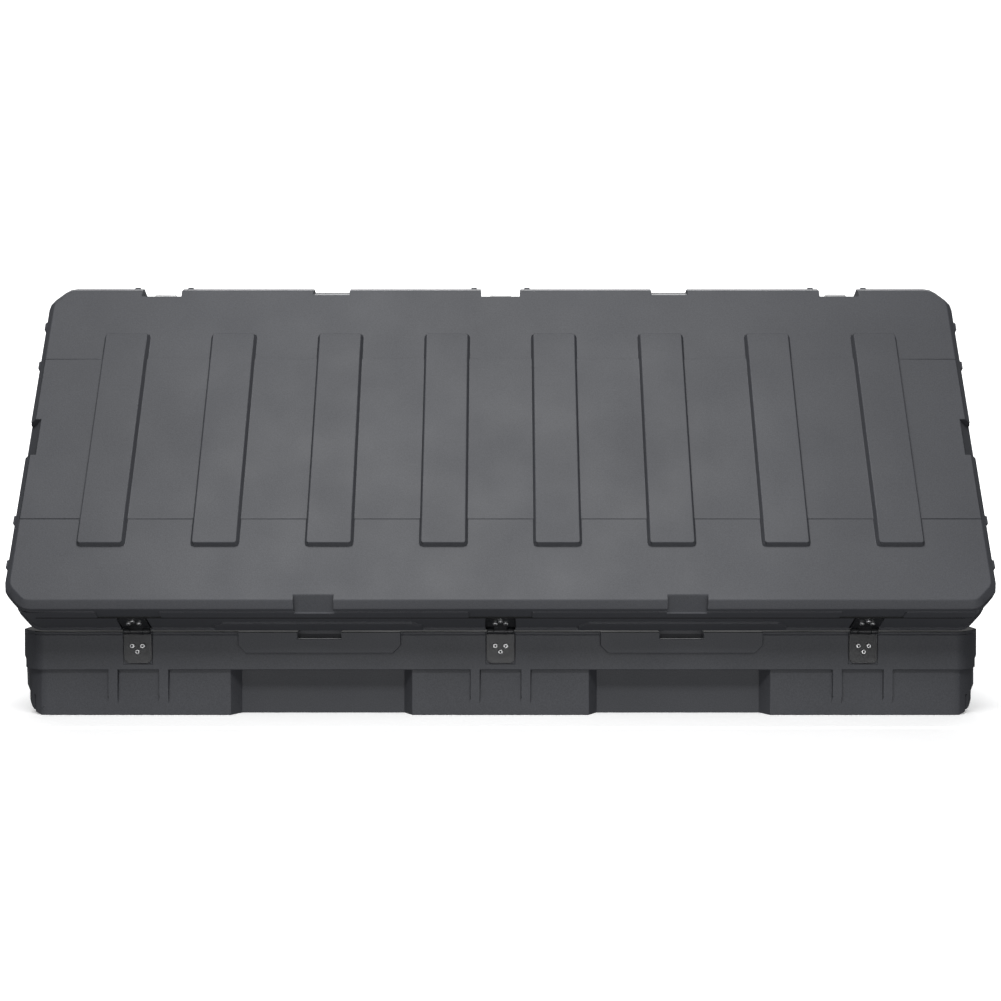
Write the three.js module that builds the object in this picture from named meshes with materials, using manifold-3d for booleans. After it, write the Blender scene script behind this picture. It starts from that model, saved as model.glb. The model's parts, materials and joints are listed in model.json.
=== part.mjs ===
// A long moulded transport case, standing open on its three rear hinges.
// Millimetres, +Z up. The origin is the middle of the base's underside, +X runs along
// the case, and the hinges are on the -Y side. Everything on the lid is modelled where it
// is when the lid is shut, and one group turns it open about the hinge pins.
import * as THREE from "three";
import { mergeVertices } from "three/addons/utils/BufferGeometryUtils.js";
import Module from "manifold-3d";

const wasm = await Module();
wasm.setup();

// The case as a whole
const CASE_WIDTH = 1386; // over the base's band
const CASE_DEPTH = 531;
const BASE_HEIGHT = 121.5;
const LID_HEIGHT = 84; // from the lid's rim to its flat top, without the bars
const WALL = 6; // moulded wall
const CORNER_CUT = 28.5; // the four plan corners are cut at 45 degrees
const CORNER_EASE = 10; // how far a curve eases each end of a corner cut
const CURVE_STEPS = 2; // straight steps in each eased corner
const ROUND_STEPS = 16; // flats round a pin or knuckle
const RIM_GAP = 1; // between the base and the shut lid
const RIM_LAND = 26; // width of the rims that meet
const RIM_DEPTH = 10; // height of the thickened rims
const CLEAR = 0.3; // left between pieces that touch
const OVERSHOOT = 1; // how far a cut runs past the face it opens

// The lid's opening
const LID_OPEN = THREE.MathUtils.degToRad(63);

// Lid
const LID_OVERHANG = 1; // the lid's sides stand outside the band by this much
const TOP_BEVEL = 10;
const CAVITY_BEVEL = 16;
const LIP_PROUD = 3.5; // bead round the lid's lower edge
const LIP_HEIGHT = 4;
const PANEL_STEP = 1.2; // the raised middle of the top
const PANEL_MARGIN = 124; // from the long edges of the flat top to the raised middle
const BAR_COUNT = 8;
const BAR_PITCH = 161.2;
const BAR_LENGTH = 352;
const BAR_FOOT = 68;
const BAR_HEIGHT = 10;
const BAR_SLOPE = 3; // how far a bar's sides lean in over their height
const BAR_EASE = 5.5;
const BAR_START = 81; // from the rear edge of the flat top to a bar's foot
const BAR_POCKET = 46; // width of the hollow under each bar
const RAIL_PROUD = 2;
const RAIL_LOW = 46; // the rubbing rails' lower edge above the lid's rim
const RAIL_HEIGHT = 21;
const RAIL_CLEAR = 44; // half the plain stretch left at each hinge and latch
const RAIL_OVERLAP = 20; // how far the stretch round an end runs in under the straight ones
const END_RIB_WIDTH = 13;
const END_RIB_PROUD = 3;
const END_RIB_SHARES = [-0.743, -0.484, 0.484, 0.743]; // of the lid's half depth, on the short sides
const LUG_WIDTH = 9;
const LUG_PLACE = 41; // from a latch's middle to the lugs beside it

// Strap notches
const STRAP_PLACE = 260; // from the middle, on the long sides
const STRAP_NOTCH = 55.5;
const END_NOTCH = 58;
const NOTCH_DEPTH = 8; // how far a notch runs into the flat top
const NOTCH_FALL = 12; // how far it runs down the side below the bevel

// Base
const BAND_HEIGHT = 55.5; // the thick band under the rim
const BODY_INSET = 5; // the lower body stands inside the band
const RIM_STEP = 5; // height of the slightly smaller edge at the rim
const RIM_STEP_INSET = 0.8;
const BODY_ROUND = 30; // lower corners of the short sides
const BLOCK_EDGE = 392; // inner edge of the end foot blocks
const MIDDLE_BLOCK = 124; // half the middle foot block
const RECESS_DEPTH = 27; // from the band's face into the recess between two blocks
const RECESS_SLOPE = 16; // how far a recess's ends lean in
const RIB_WIDTH = 14;
const RIB_LENGTH = 49.5;
const RIB_TAPER = 12; // length of a rib's sloped lower end
const RIB_PLACE = 36.5; // from the middle of a hinge to the ribs under it
const BASE_END_RIB_LENGTH = 38; // ribs on the short sides stop above the rounded corners
const BASE_END_RIB_SHARE = 0.825; // where they stand, as a share of half the depth
const END_PANEL_SHARE = 0.851; // half the raised panel along each short side, as a share of half the depth
const END_PANEL_HEIGHT = 50;
const GROOVE_WIDTH = 6; // upright groove low on each corner
const GROOVE_TOP = 29;
const GROOVE_CUT = 3.5; // its depth
const GRIP_WIDTH = 170; // hand grips under the band on the short sides
const GRIP_HEIGHT = 44;
const FLOOR_RIB_COUNT = 6;
const FLOOR_RIB_WIDTH = 26;
const FLOOR_RIB_HEIGHT = 5;
const FLOOR_RIB_MARGIN = 40; // from the floor's long edges to a floor rib's end

// Grip zone, where the lid's flange meets the base's panel
const FLANGE_HALF = 148.5;
const FLANGE_TOP_HALF = 134;
const FLANGE_HEIGHT = 27;
const FLANGE_SHOULDER = 14; // height at which a flange's ends start to lean in
const PANEL_HALF = 116.5;
const PANEL_HEIGHT = 31;
const PANEL_CUT = 11; // the panel's lower corners
const PANEL_PROUD = 4;
const SLOT_WIDTH = 63;
const SLOT_MOUTH = 10; // height of the slot's mouth under the rim
const SLOT_INNER = 14; // from the band's face to the slot's inner wall
const SLOT_OUTER = 4; // from the band's face to the slot's outer wall

// Gasket
const GASKET_WIDTH = 5.4;
const GASKET_GROOVE = 6; // groove width
const GROOVE_INSET = 16; // from the lid's side to the groove
const GROOVE_DEPTH = 5;
const GASKET_STAND = 0.6; // how far the gasket stands out of its groove

// Hinges and latches share their places along the case
const FITTING_PLACES = [-521, 0, 521];
const FITTING_NAMES = ["left", "middle", "right"];

// Hinges
const PIN_OUT = 5; // from the rear wall to the pin's axis
const HINGE_PIN_RADIUS = 2.6;
const KNUCKLE_RADIUS = 4.7;
const PIN_HEAD_RADIUS = 3.9;
const PIN_HEAD_LENGTH = 1.6;
const RUNNING_GAP = 0.3; // round a turning pin
const LEAF_WIDTH = 40;
const LEAF_THICK = 2.5;
const LEAF_CUT = 5.5; // its outer corners
const BASE_LEAF_REACH = 47; // below the pin
const LID_LEAF_REACH = 40.5; // above the pin
const LEAF_START = 5.2; // where the flat leaf starts, clear of the other leaf's knuckles
const LEAF_SINK = 1.2; // how far a leaf is let into the wall
const LEAF_POCKET_GAP = 1; // round a leaf
const MIDDLE_KNUCKLE = 18.4; // length of the lid leaf's knuckle
const KNUCKLE_GAP = 0.6;
const SCREW_SPREAD = 7.5;
const SCREW_NEAR = 21.5; // from the pin to the two nearer screws
const SCREW_FAR = 30;

// Button-head screws with hexagon sockets
const SCREW_HEAD_RADIUS = 3.8;
const SCREW_HEAD_HEIGHT = 2.2;
const SCREW_SHANK_RADIUS = 2;
const SCREW_SHANK_LENGTH = 6;
const SOCKET_RADIUS = 1.45;
const SOCKET_DEPTH = 1.3;
const SCREW_STEPS = 10;
const HEXAGON = 6;

// Latches on the front wall
const LATCH_POCKET = 60; // width of the pockets in lid and base
const LID_POCKET_DEPTH = 20;
const BASE_POCKET_DEPTH = 8;
const LATCH_PIN_HEIGHT = 109.5;
const LATCH_PIN_OUT = 3; // from the front wall to the pin's axis
const LATCH_PIN_RADIUS = 3;
const LATCH_BOSS_RADIUS = 6.5;
const ARM_WIDTH = 44;
const ARM_THICK = 4;
const HOOK_REACH = 9; // how far the hook runs inwards from the arm
const HOOK_THICK = 5;
const PULL_LENGTH = 12; // the finger pull beyond the hook
const PULL_LEAN = 4;
const EAR_THICK = 3;
const EAR_GAP = 0.8; // between an ear and the arm
const BRACKET_THICK = 2.5;
const BRACKET_HEIGHT = 22;
const KEEPER_WIDTH = 32;
const KEEPER_THICK = 6;
const KEEPER_PLACE = 22; // from the flat top down to the keeper's hooked face
const KEEPER_PLATE = 2.5;
const KEEPER_PLATE_WIDTH = 46;
const KEEPER_PLATE_HEIGHT = 30;
const FITTING_SCREW_SPREAD = 14;

// Pressure valve on the front wall
const VALVE_PLACE = 100;
const VALVE_RADIUS = 13;
const VALVE_PROUD = 4;
const VALVE_STEM_RADIUS = 6;
const VALVE_SLOTS = 6;

// Places worked out from the sizes above
const LID_LOW = BASE_HEIGHT + RIM_GAP;
const LID_TOP = LID_LOW + LID_HEIGHT;
const BAND_LOW = BASE_HEIGHT - BAND_HEIGHT;
const HALF_DEPTH = CASE_DEPTH / 2;
const HALF_WIDTH = CASE_WIDTH / 2;
const LID_HALF_DEPTH = HALF_DEPTH + LID_OVERHANG;
const LID_HALF_WIDTH = HALF_WIDTH + LID_OVERHANG;
const PIN_Y = -HALF_DEPTH - PIN_OUT;
const PIN_Z = LID_LOW;
const SIDES = [-1, 1];

const polyethylene = new THREE.MeshStandardMaterial({ color: 0x4c4d51, roughness: 0.62, metalness: 0 });
const blackSteel = new THREE.MeshStandardMaterial({ color: 0x17181a, roughness: 0.38, metalness: 0.3 });
const stainless = new THREE.MeshStandardMaterial({ color: 0xc4c6c8, roughness: 0.25, metalness: 1 });
const rubber = new THREE.MeshStandardMaterial({ color: 0x141414, roughness: 0.8, metalness: 0 });
const blackNylon = new THREE.MeshStandardMaterial({ color: 0x1b1c1e, roughness: 0.5, metalness: 0 });

// A closed geometry as a solid that can be joined and cut.
function solid(geometry) {
  const bare = geometry.clone();
  bare.deleteAttribute("normal");
  bare.deleteAttribute("uv");
  const merged = mergeVertices(bare, 1e-4);
  const vertProperties = merged.attributes.position.array;
  const triVerts = new Uint32Array(merged.index.array);
  return new wasm.Manifold(new wasm.Mesh({ numProp: 3, vertProperties, triVerts }));
}

function joined(solids) {
  return solids.reduce((whole, piece) => whole.add(piece));
}

function without(whole, cuts) {
  return cuts.reduce((rest, cut) => rest.subtract(cut), whole);
}

function namedMesh(name, shape, material) {
  const { vertProperties, triVerts } = shape.getMesh();
  const indexed = new THREE.BufferGeometry();
  indexed.setAttribute("position", new THREE.BufferAttribute(vertProperties, 3));
  indexed.setIndex(new THREE.BufferAttribute(triVerts, 1));
  const geometry = indexed.toNonIndexed();
  geometry.computeVertexNormals();
  const mesh = new THREE.Mesh(geometry, material);
  mesh.name = name;
  return mesh;
}

function block([x0, x1], [y0, y1], [z0, z1]) {
  const box = new THREE.BoxGeometry(x1 - x0, y1 - y0, z1 - z0);
  box.translate((x0 + x1) / 2, (y0 + y1) / 2, (z0 + z1) / 2);
  return solid(box);
}

// A closed outline whose corners are each eased by a short curve.
function easedOutline(corners, ease) {
  const outline = new THREE.Shape();
  corners.forEach((corner, i) => {
    const before = corners[(i + corners.length - 1) % corners.length];
    const after = corners[(i + 1) % corners.length];
    const start = before.clone().sub(corner).setLength(ease).add(corner);
    const end = after.clone().sub(corner).setLength(ease).add(corner);
    if (i === 0) outline.moveTo(start.x, start.y);
    else outline.lineTo(start.x, start.y);
    outline.quadraticCurveTo(corner.x, corner.y, end.x, end.y);
  });
  outline.closePath();
  return outline;
}

// The case's outline in plan, brought in all round by inset.
function caseOutline(inset) {
  const x = HALF_WIDTH - inset;
  const y = HALF_DEPTH - inset;
  const cut = CORNER_CUT - inset * (2 - Math.SQRT2);
  const corners = [
    new THREE.Vector2(x, cut - y),
    new THREE.Vector2(x, y - cut),
    new THREE.Vector2(x - cut, y),
    new THREE.Vector2(cut - x, y),
    new THREE.Vector2(-x, y - cut),
    new THREE.Vector2(-x, cut - y),
    new THREE.Vector2(cut - x, -y),
    new THREE.Vector2(x - cut, -y),
  ];
  return easedOutline(corners, Math.min(CORNER_EASE, cut / 2));
}

function prism(outline, low, high) {
  const settings = { depth: high - low, bevelEnabled: false, curveSegments: CURVE_STEPS };
  const upright = new THREE.ExtrudeGeometry(outline, settings);
  upright.translate(0, 0, low);
  return solid(upright);
}

// A prism whose upper edge is cut back by inset over its last rise.
function toppedPrism(outline, low, high, inset, rise) {
  const settings = {
    depth: high - low - rise,
    bevelThickness: rise,
    bevelSize: inset,
    bevelOffset: -inset,
    bevelSegments: 1,
    curveSegments: CURVE_STEPS,
  };
  const both = new THREE.ExtrudeGeometry(outline, settings);
  both.translate(0, 0, low);
  return solid(both).intersect(prism(outline, low, high + OVERSHOOT));
}

// An outline in X and Z, given from its lowest place up, drawn out from one Y to another.
function alongY(points, y0, y1) {
  const outline = new THREE.Shape(points.map(([x, z]) => new THREE.Vector2(x, z)));
  const flat = new THREE.ExtrudeGeometry(outline, { depth: y1 - y0, bevelEnabled: false });
  flat.rotateX(Math.PI / 2);
  flat.translate(0, y1, 0);
  return solid(flat);
}

// An outline in Y and Z drawn out from one X to another.
function alongX(points, x0, x1) {
  const outline = new THREE.Shape(points.map(([y, z]) => new THREE.Vector2(y, z)));
  const flat = new THREE.ExtrudeGeometry(outline, { depth: x1 - x0, bevelEnabled: false });
  flat.rotateY(Math.PI / 2);
  flat.rotateX(Math.PI / 2);
  flat.translate(x0, 0, 0);
  return solid(flat);
}

// A round bar lying along X.
function barAlongX(radius, x0, x1, y, z) {
  const bar = new THREE.CylinderGeometry(radius, radius, x1 - x0, ROUND_STEPS);
  bar.rotateZ(Math.PI / 2);
  bar.translate((x0 + x1) / 2, y, z);
  return solid(bar);
}

// A round bar lying along Y.
function barAlongY(radius, y0, y1, x, z) {
  const bar = new THREE.CylinderGeometry(radius, radius, y1 - y0, SCREW_STEPS);
  bar.translate(x, (y0 + y1) / 2, z);
  return solid(bar);
}

// A range of Y on the rear (-1) or front (1) wall, measured outwards from a face.
function outwards(side, face, from, to) {
  const ends = [side * (face + from), side * (face + to)];
  return [Math.min(...ends), Math.max(...ends)];
}

const basicRange = (middle, half) => [middle - half, middle + half];

// ---- base shell ----

function lowerBody() {
  const plan = prism(caseOutline(BODY_INSET), 0, BAND_LOW + OVERSHOOT);
  const half = HALF_WIDTH - BODY_INSET;
  const high = BAND_LOW + 2 * OVERSHOOT;
  const front = new THREE.Shape();
  front.moveTo(half, high);
  front.lineTo(-half, high);
  front.lineTo(-half, BODY_ROUND);
  front.absarc(BODY_ROUND - half, BODY_ROUND, BODY_ROUND, Math.PI, Math.PI * 1.5, false);
  front.lineTo(half - BODY_ROUND, 0);
  front.absarc(half - BODY_ROUND, BODY_ROUND, BODY_ROUND, Math.PI * 1.5, Math.PI * 2, false);
  const drawn = new THREE.ExtrudeGeometry(front, {
    depth: CASE_DEPTH,
    bevelEnabled: false,
    curveSegments: 8,
  });
  drawn.rotateX(Math.PI / 2);
  drawn.translate(0, HALF_DEPTH, 0);
  return plan.intersect(solid(drawn));
}

// The recess between an end foot block and the middle one.
function footRecess(side, end) {
  const [y0, y1] = outwards(side, HALF_DEPTH, -RECESS_DEPTH, OVERSHOOT);
  const deep = side < 0 ? y1 : y0;
  const open = side < 0 ? y0 : y1;
  const outline = [
    new THREE.Vector2(end * BLOCK_EDGE, open),
    new THREE.Vector2(end * MIDDLE_BLOCK, open),
    new THREE.Vector2(end * (MIDDLE_BLOCK + RECESS_SLOPE), deep),
    new THREE.Vector2(end * (BLOCK_EDGE - RECESS_SLOPE), deep),
  ];
  return prism(new THREE.Shape(outline), -OVERSHOOT, BAND_LOW);
}

// Hand grip under the band on a short side.
function endGrip(end) {
  const half = GRIP_WIDTH / 2;
  const outline = [
    new THREE.Vector2(end * (HALF_WIDTH + OVERSHOOT), -half),
    new THREE.Vector2(end * (HALF_WIDTH + OVERSHOOT), half),
    new THREE.Vector2(end * (HALF_WIDTH - RECESS_DEPTH), half - RECESS_SLOPE),
    new THREE.Vector2(end * (HALF_WIDTH - RECESS_DEPTH), RECESS_SLOPE - half),
  ];
  return prism(new THREE.Shape(outline), BAND_LOW - GRIP_HEIGHT, BAND_LOW);
}

// A rib that runs down from the band onto the lower body.
function bodyRib(x, side) {
  const face = HALF_DEPTH;
  const root = face - BODY_INSET;
  const low = BAND_LOW - RIB_LENGTH;
  const points = [
    [side * (root - OVERSHOOT), low - OVERSHOOT],
    [side * root, low],
    [side * face, low + RIB_TAPER],
    [side * face, BAND_LOW + OVERSHOOT],
    [side * (root - OVERSHOOT), BAND_LOW + OVERSHOOT],
  ];
  return alongX(points, x - RIB_WIDTH / 2, x + RIB_WIDTH / 2);
}

function gripPanel(x, side) {
  const low = BASE_HEIGHT - PANEL_HEIGHT;
  const points = [
    [x + PANEL_HALF - PANEL_CUT, low],
    [x + PANEL_HALF, low + PANEL_CUT],
    [x + PANEL_HALF, BASE_HEIGHT],
    [x - PANEL_HALF, BASE_HEIGHT],
    [x - PANEL_HALF, low + PANEL_CUT],
    [x - PANEL_HALF + PANEL_CUT, low],
  ];
  return alongY(points, ...outwards(side, HALF_DEPTH, -OVERSHOOT, PANEL_PROUD));
}

// A rib down a short side, and the raised panel along that side's band.
function endBodyRib(y, end) {
  const root = HALF_WIDTH - BODY_INSET;
  const low = BAND_LOW - BASE_END_RIB_LENGTH;
  const points = [
    [end * (root - OVERSHOOT), low - OVERSHOOT],
    [end * root, low],
    [end * HALF_WIDTH, low + RIB_TAPER],
    [end * HALF_WIDTH, BAND_LOW + OVERSHOOT],
    [end * (root - OVERSHOOT), BAND_LOW + OVERSHOOT],
  ];
  return alongY(points, y - RIB_WIDTH / 2, y + RIB_WIDTH / 2);
}

function endPanel(end) {
  const half = END_PANEL_SHARE * HALF_DEPTH;
  const low = BASE_HEIGHT - END_PANEL_HEIGHT;
  const points = [
    [half - PANEL_CUT, low],
    [half, low + PANEL_CUT],
    [half, BASE_HEIGHT],
    [-half, BASE_HEIGHT],
    [-half, low + PANEL_CUT],
    [PANEL_CUT - half, low],
  ];
  return alongX(points, ...outwards(end, HALF_WIDTH, -OVERSHOOT, PANEL_PROUD));
}

// An upright groove with a rounded top, cut square into a corner's face.
function cornerGroove(side, end) {
  const half = GROOVE_WIDTH / 2;
  const outline = new THREE.Shape();
  outline.moveTo(half, -OVERSHOOT);
  outline.lineTo(half, GROOVE_TOP - half);
  outline.absarc(0, GROOVE_TOP - half, half, 0, Math.PI, false);
  outline.lineTo(-half, -OVERSHOOT);
  const settings = { depth: 2 * GROOVE_CUT, bevelEnabled: false, curveSegments: 6 };
  const drawn = new THREE.ExtrudeGeometry(outline, settings);
  drawn.rotateX(Math.PI / 2);
  drawn.translate(0, GROOVE_CUT, 0);
  drawn.rotateZ((-end * side * Math.PI) / 4);
  const cut = CORNER_CUT - BODY_INSET * (2 - Math.SQRT2);
  const x = HALF_WIDTH - BODY_INSET - cut / 2;
  drawn.translate(end * x, side * (HALF_DEPTH - BODY_INSET - cut / 2), 0);
  return solid(drawn);
}

// The strap's way down behind a grip panel, with its mouth at the rim.
function strapSlot(x, side) {
  const across = basicRange(x, SLOT_WIDTH / 2);
  const channel = outwards(side, HALF_DEPTH, -SLOT_INNER, -SLOT_OUTER);
  const mouth = outwards(side, HALF_DEPTH, -SLOT_INNER, PANEL_PROUD + OVERSHOOT);
  return joined([
    block(across, channel, [BAND_LOW - OVERSHOOT, BASE_HEIGHT + OVERSHOOT]),
    block(across, mouth, [BASE_HEIGHT - SLOT_MOUTH, BASE_HEIGHT + OVERSHOOT]),
  ]);
}

function baseCavity() {
  const lower = prism(caseOutline(BODY_INSET + WALL), WALL, BAND_LOW + WALL);
  const upper = prism(caseOutline(WALL), BAND_LOW + WALL - OVERSHOOT, BASE_HEIGHT - RIM_DEPTH);
  const mouth = prism(caseOutline(RIM_LAND), BASE_HEIGHT - RIM_DEPTH - OVERSHOOT, BASE_HEIGHT + OVERSHOOT);
  const half = HALF_WIDTH - BODY_INSET - WALL;
  const round = BODY_ROUND - WALL;
  const high = BASE_HEIGHT + OVERSHOOT;
  const front = new THREE.Shape();
  front.moveTo(half + BODY_INSET, high);
  front.lineTo(-half - BODY_INSET, high);
  front.lineTo(-half - BODY_INSET, BAND_LOW + WALL - OVERSHOOT);
  front.lineTo(-half, BAND_LOW + WALL - OVERSHOOT);
  front.lineTo(-half, WALL + round);
  front.absarc(round - half, WALL + round, round, Math.PI, Math.PI * 1.5, false);
  front.lineTo(half - round, WALL);
  front.absarc(half - round, WALL + round, round, Math.PI * 1.5, Math.PI * 2, false);
  front.lineTo(half, BAND_LOW + WALL - OVERSHOOT);
  front.lineTo(half + BODY_INSET, BAND_LOW + WALL - OVERSHOOT);
  const drawn = new THREE.ExtrudeGeometry(front, {
    depth: CASE_DEPTH,
    bevelEnabled: false,
    curveSegments: 6,
  });
  drawn.rotateX(Math.PI / 2);
  drawn.translate(0, HALF_DEPTH, 0);
  const keep = [];
  for (const side of SIDES) {
    for (const end of SIDES) {
      keep.push(recessBacking(side, end));
      keep.push(slotBacking(end * STRAP_PLACE, side));
    }
    keep.push(gripBacking(side));
  }
  FITTING_PLACES.forEach((x) => keep.push(basePocketBacking(x)));
  return without(joined([lower, upper, mouth]).intersect(solid(drawn)), [...keep, ...floorRibs()]);
}

// Wall left behind each recess, slot and pocket, so that it is never thinner than WALL.
function recessBacking(side, end) {
  const edges = [end * (MIDDLE_BLOCK - WALL), end * (BLOCK_EDGE + WALL)];
  const across = [Math.min(...edges), Math.max(...edges)];
  return block(across, outwards(side, HALF_DEPTH, -RECESS_DEPTH - WALL, 0), [0, BAND_LOW + WALL]);
}

function slotBacking(x, side) {
  const across = basicRange(x, SLOT_WIDTH / 2 + WALL);
  return block(across, outwards(side, HALF_DEPTH, -SLOT_INNER - WALL, 0), [BAND_LOW, BASE_HEIGHT]);
}

function gripBacking(end) {
  const across = outwards(end, HALF_WIDTH, -RECESS_DEPTH - WALL, 0);
  const along = basicRange(0, GRIP_WIDTH / 2 + WALL);
  return block(across, along, [BAND_LOW - GRIP_HEIGHT - WALL, BAND_LOW + WALL]);
}

function basePocketBacking(x) {
  const across = basicRange(x, LATCH_POCKET / 2 + WALL);
  const deep = -BASE_POCKET_DEPTH - WALL;
  return block(across, outwards(1, HALF_DEPTH, deep, 0), [basePocketLow() - WALL, BASE_HEIGHT]);
}

function basePocketLow() {
  return LATCH_PIN_HEIGHT - BRACKET_HEIGHT / 2 - LEAF_POCKET_GAP;
}

// Low ribs that stiffen the floor inside.
function floorRibs() {
  const half = HALF_DEPTH - RECESS_DEPTH - WALL - FLOOR_RIB_MARGIN;
  const pitch = (CASE_WIDTH - 2 * CORNER_CUT) / FLOOR_RIB_COUNT;
  return Array.from({ length: FLOOR_RIB_COUNT }, (_, i) => {
    const x = (i - (FLOOR_RIB_COUNT - 1) / 2) * pitch;
    return block(basicRange(x, FLOOR_RIB_WIDTH / 2), [-half, half], [0, WALL + FLOOR_RIB_HEIGHT]);
  });
}

function basePocket(x) {
  const across = basicRange(x, LATCH_POCKET / 2);
  const through = outwards(1, HALF_DEPTH, -BASE_POCKET_DEPTH, OVERSHOOT);
  return block(across, through, [basePocketLow(), BASE_HEIGHT + OVERSHOOT]);
}

// Shallow pocket that a hinge leaf is let into, from the pin's level to its far end.
function leafPocket(x, z0, z1) {
  const across = basicRange(x, LEAF_WIDTH / 2 + LEAF_POCKET_GAP);
  const through = outwards(-1, HALF_DEPTH, -LEAF_SINK - CLEAR, LIP_PROUD + OVERSHOOT);
  return block(across, through, [z0, z1]);
}

function shankHole(x, z, side, face) {
  const reach = SCREW_SHANK_LENGTH + CLEAR;
  return barAlongY(SCREW_SHANK_RADIUS + CLEAR, ...outwards(side, face, -reach, OVERSHOOT), x, z);
}

function makeBaseShell() {
  const outside = [
    lowerBody(),
    prism(caseOutline(0), BAND_LOW, BASE_HEIGHT - RIM_STEP),
    prism(caseOutline(RIM_STEP_INSET), BASE_HEIGHT - RIM_STEP - OVERSHOOT, BASE_HEIGHT),
  ];
  const cuts = [baseCavity()];
  for (const side of SIDES) {
    for (const end of SIDES) {
      outside.push(gripPanel(end * STRAP_PLACE, side));
      cuts.push(footRecess(side, end));
      cuts.push(strapSlot(end * STRAP_PLACE, side));
      cuts.push(cornerGroove(side, end));
      outside.push(endBodyRib(side * BASE_END_RIB_SHARE * HALF_DEPTH, end));
    }
    outside.push(endPanel(side));
    cuts.push(endGrip(side));
  }
  for (const x of FITTING_PLACES) {
    for (const side of SIDES) {
      for (const end of SIDES) outside.push(bodyRib(x + end * RIB_PLACE, side));
    }
    cuts.push(leafPocket(x, PIN_Z - BASE_LEAF_REACH - LEAF_POCKET_GAP, BASE_HEIGHT + OVERSHOOT));
    cuts.push(basePocket(x));
    leafScrewPlaces(x, -1).forEach(([sx, sz]) => cuts.push(shankHole(sx, sz, -1, leafFace())));
    bracketScrewPlaces(x).forEach(([sx, sz]) => cuts.push(shankHole(sx, sz, 1, bracketFace())));
  }
  const stemHole = [HALF_DEPTH - 2 * WALL, HALF_DEPTH + OVERSHOOT];
  cuts.push(barAlongY(VALVE_STEM_RADIUS + CLEAR, ...stemHole, VALVE_PLACE, valveZ()));
  return namedMesh("base_shell", without(joined(outside), cuts), polyethylene);
}

// ---- lid shell ----

function topBar(i) {
  const x = (i - (BAR_COUNT - 1) / 2) * BAR_PITCH;
  const rear = -LID_HALF_DEPTH + TOP_BEVEL + BAR_START;
  const corners = [
    new THREE.Vector2(x + BAR_FOOT / 2, rear),
    new THREE.Vector2(x + BAR_FOOT / 2, rear + BAR_LENGTH),
    new THREE.Vector2(x - BAR_FOOT / 2, rear + BAR_LENGTH),
    new THREE.Vector2(x - BAR_FOOT / 2, rear),
  ];
  const outline = easedOutline(corners, BAR_EASE);
  return toppedPrism(outline, LID_TOP - OVERSHOOT, LID_TOP + BAR_HEIGHT, BAR_SLOPE, BAR_HEIGHT - 1);
}

function barHollow(i) {
  const x = (i - (BAR_COUNT - 1) / 2) * BAR_PITCH;
  const rear = -LID_HALF_DEPTH + TOP_BEVEL + BAR_START;
  const margin = (BAR_FOOT - BAR_POCKET) / 2;
  const along = [rear + margin, rear + BAR_LENGTH - margin];
  return block(basicRange(x, BAR_POCKET / 2), along, [LID_TOP - 2 * WALL, LID_TOP + BAR_HEIGHT - WALL]);
}

function raisedMiddle() {
  const half = LID_HALF_DEPTH - TOP_BEVEL - PANEL_MARGIN;
  const across = LID_HALF_WIDTH - TOP_BEVEL;
  return block([-across, across], [-half, half], [LID_TOP - OVERSHOOT, LID_TOP + PANEL_STEP]);
}

function lidFlange(x, side) {
  const points = [
    [x + FLANGE_HALF, LID_LOW],
    [x + FLANGE_HALF, LID_LOW + FLANGE_SHOULDER],
    [x + FLANGE_TOP_HALF, LID_LOW + FLANGE_HEIGHT],
    [x - FLANGE_TOP_HALF, LID_LOW + FLANGE_HEIGHT],
    [x - FLANGE_HALF, LID_LOW + FLANGE_SHOULDER],
    [x - FLANGE_HALF, LID_LOW],
  ];
  return alongY(points, ...outwards(side, LID_HALF_DEPTH, -OVERSHOOT, LIP_PROUD));
}

// Rubbing rails under the top edge, broken at each hinge and latch.
function rubbingRails(side) {
  const end = LID_HALF_WIDTH - CORNER_CUT;
  const edges = [-end];
  FITTING_PLACES.forEach((x) => edges.push(x - RAIL_CLEAR, x + RAIL_CLEAR));
  edges.push(end);
  const rails = [];
  for (let i = 0; i < edges.length; i += 2) {
    rails.push(railStretch(edges[i], edges[i + 1], side));
  }
  return rails;
}

// The rails run on round the corners and along the short sides.
function endRails() {
  const low = LID_LOW + RAIL_LOW;
  const round = prism(caseOutline(-LID_OVERHANG - RAIL_PROUD), low, low + RAIL_HEIGHT);
  const half = LID_HALF_WIDTH - CORNER_CUT - RAIL_OVERLAP;
  return round.subtract(block([-half, half], [-CASE_DEPTH, CASE_DEPTH], [LID_LOW, LID_TOP]));
}

function railStretch(x0, x1, side) {
  const low = LID_LOW + RAIL_LOW;
  const high = low + RAIL_HEIGHT;
  const corners = [
    new THREE.Vector2(x1, low),
    new THREE.Vector2(x1, high),
    new THREE.Vector2(x0, high),
    new THREE.Vector2(x0, low),
  ];
  const [y0, y1] = outwards(side, LID_HALF_DEPTH, -OVERSHOOT, RAIL_PROUD);
  const settings = { depth: y1 - y0, bevelEnabled: false, curveSegments: CURVE_STEPS };
  const drawn = new THREE.ExtrudeGeometry(easedOutline(corners, RAIL_PROUD * 2), settings);
  drawn.rotateX(Math.PI / 2);
  drawn.translate(0, y1, 0);
  return solid(drawn);
}

function endRib(end, y) {
  const across = outwards(end, LID_HALF_WIDTH, -OVERSHOOT, END_RIB_PROUD);
  const upTo = LID_TOP - TOP_BEVEL;
  return block(across, basicRange(y, END_RIB_WIDTH / 2), [LID_LOW + LIP_HEIGHT - OVERSHOOT, upTo]);
}

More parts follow.
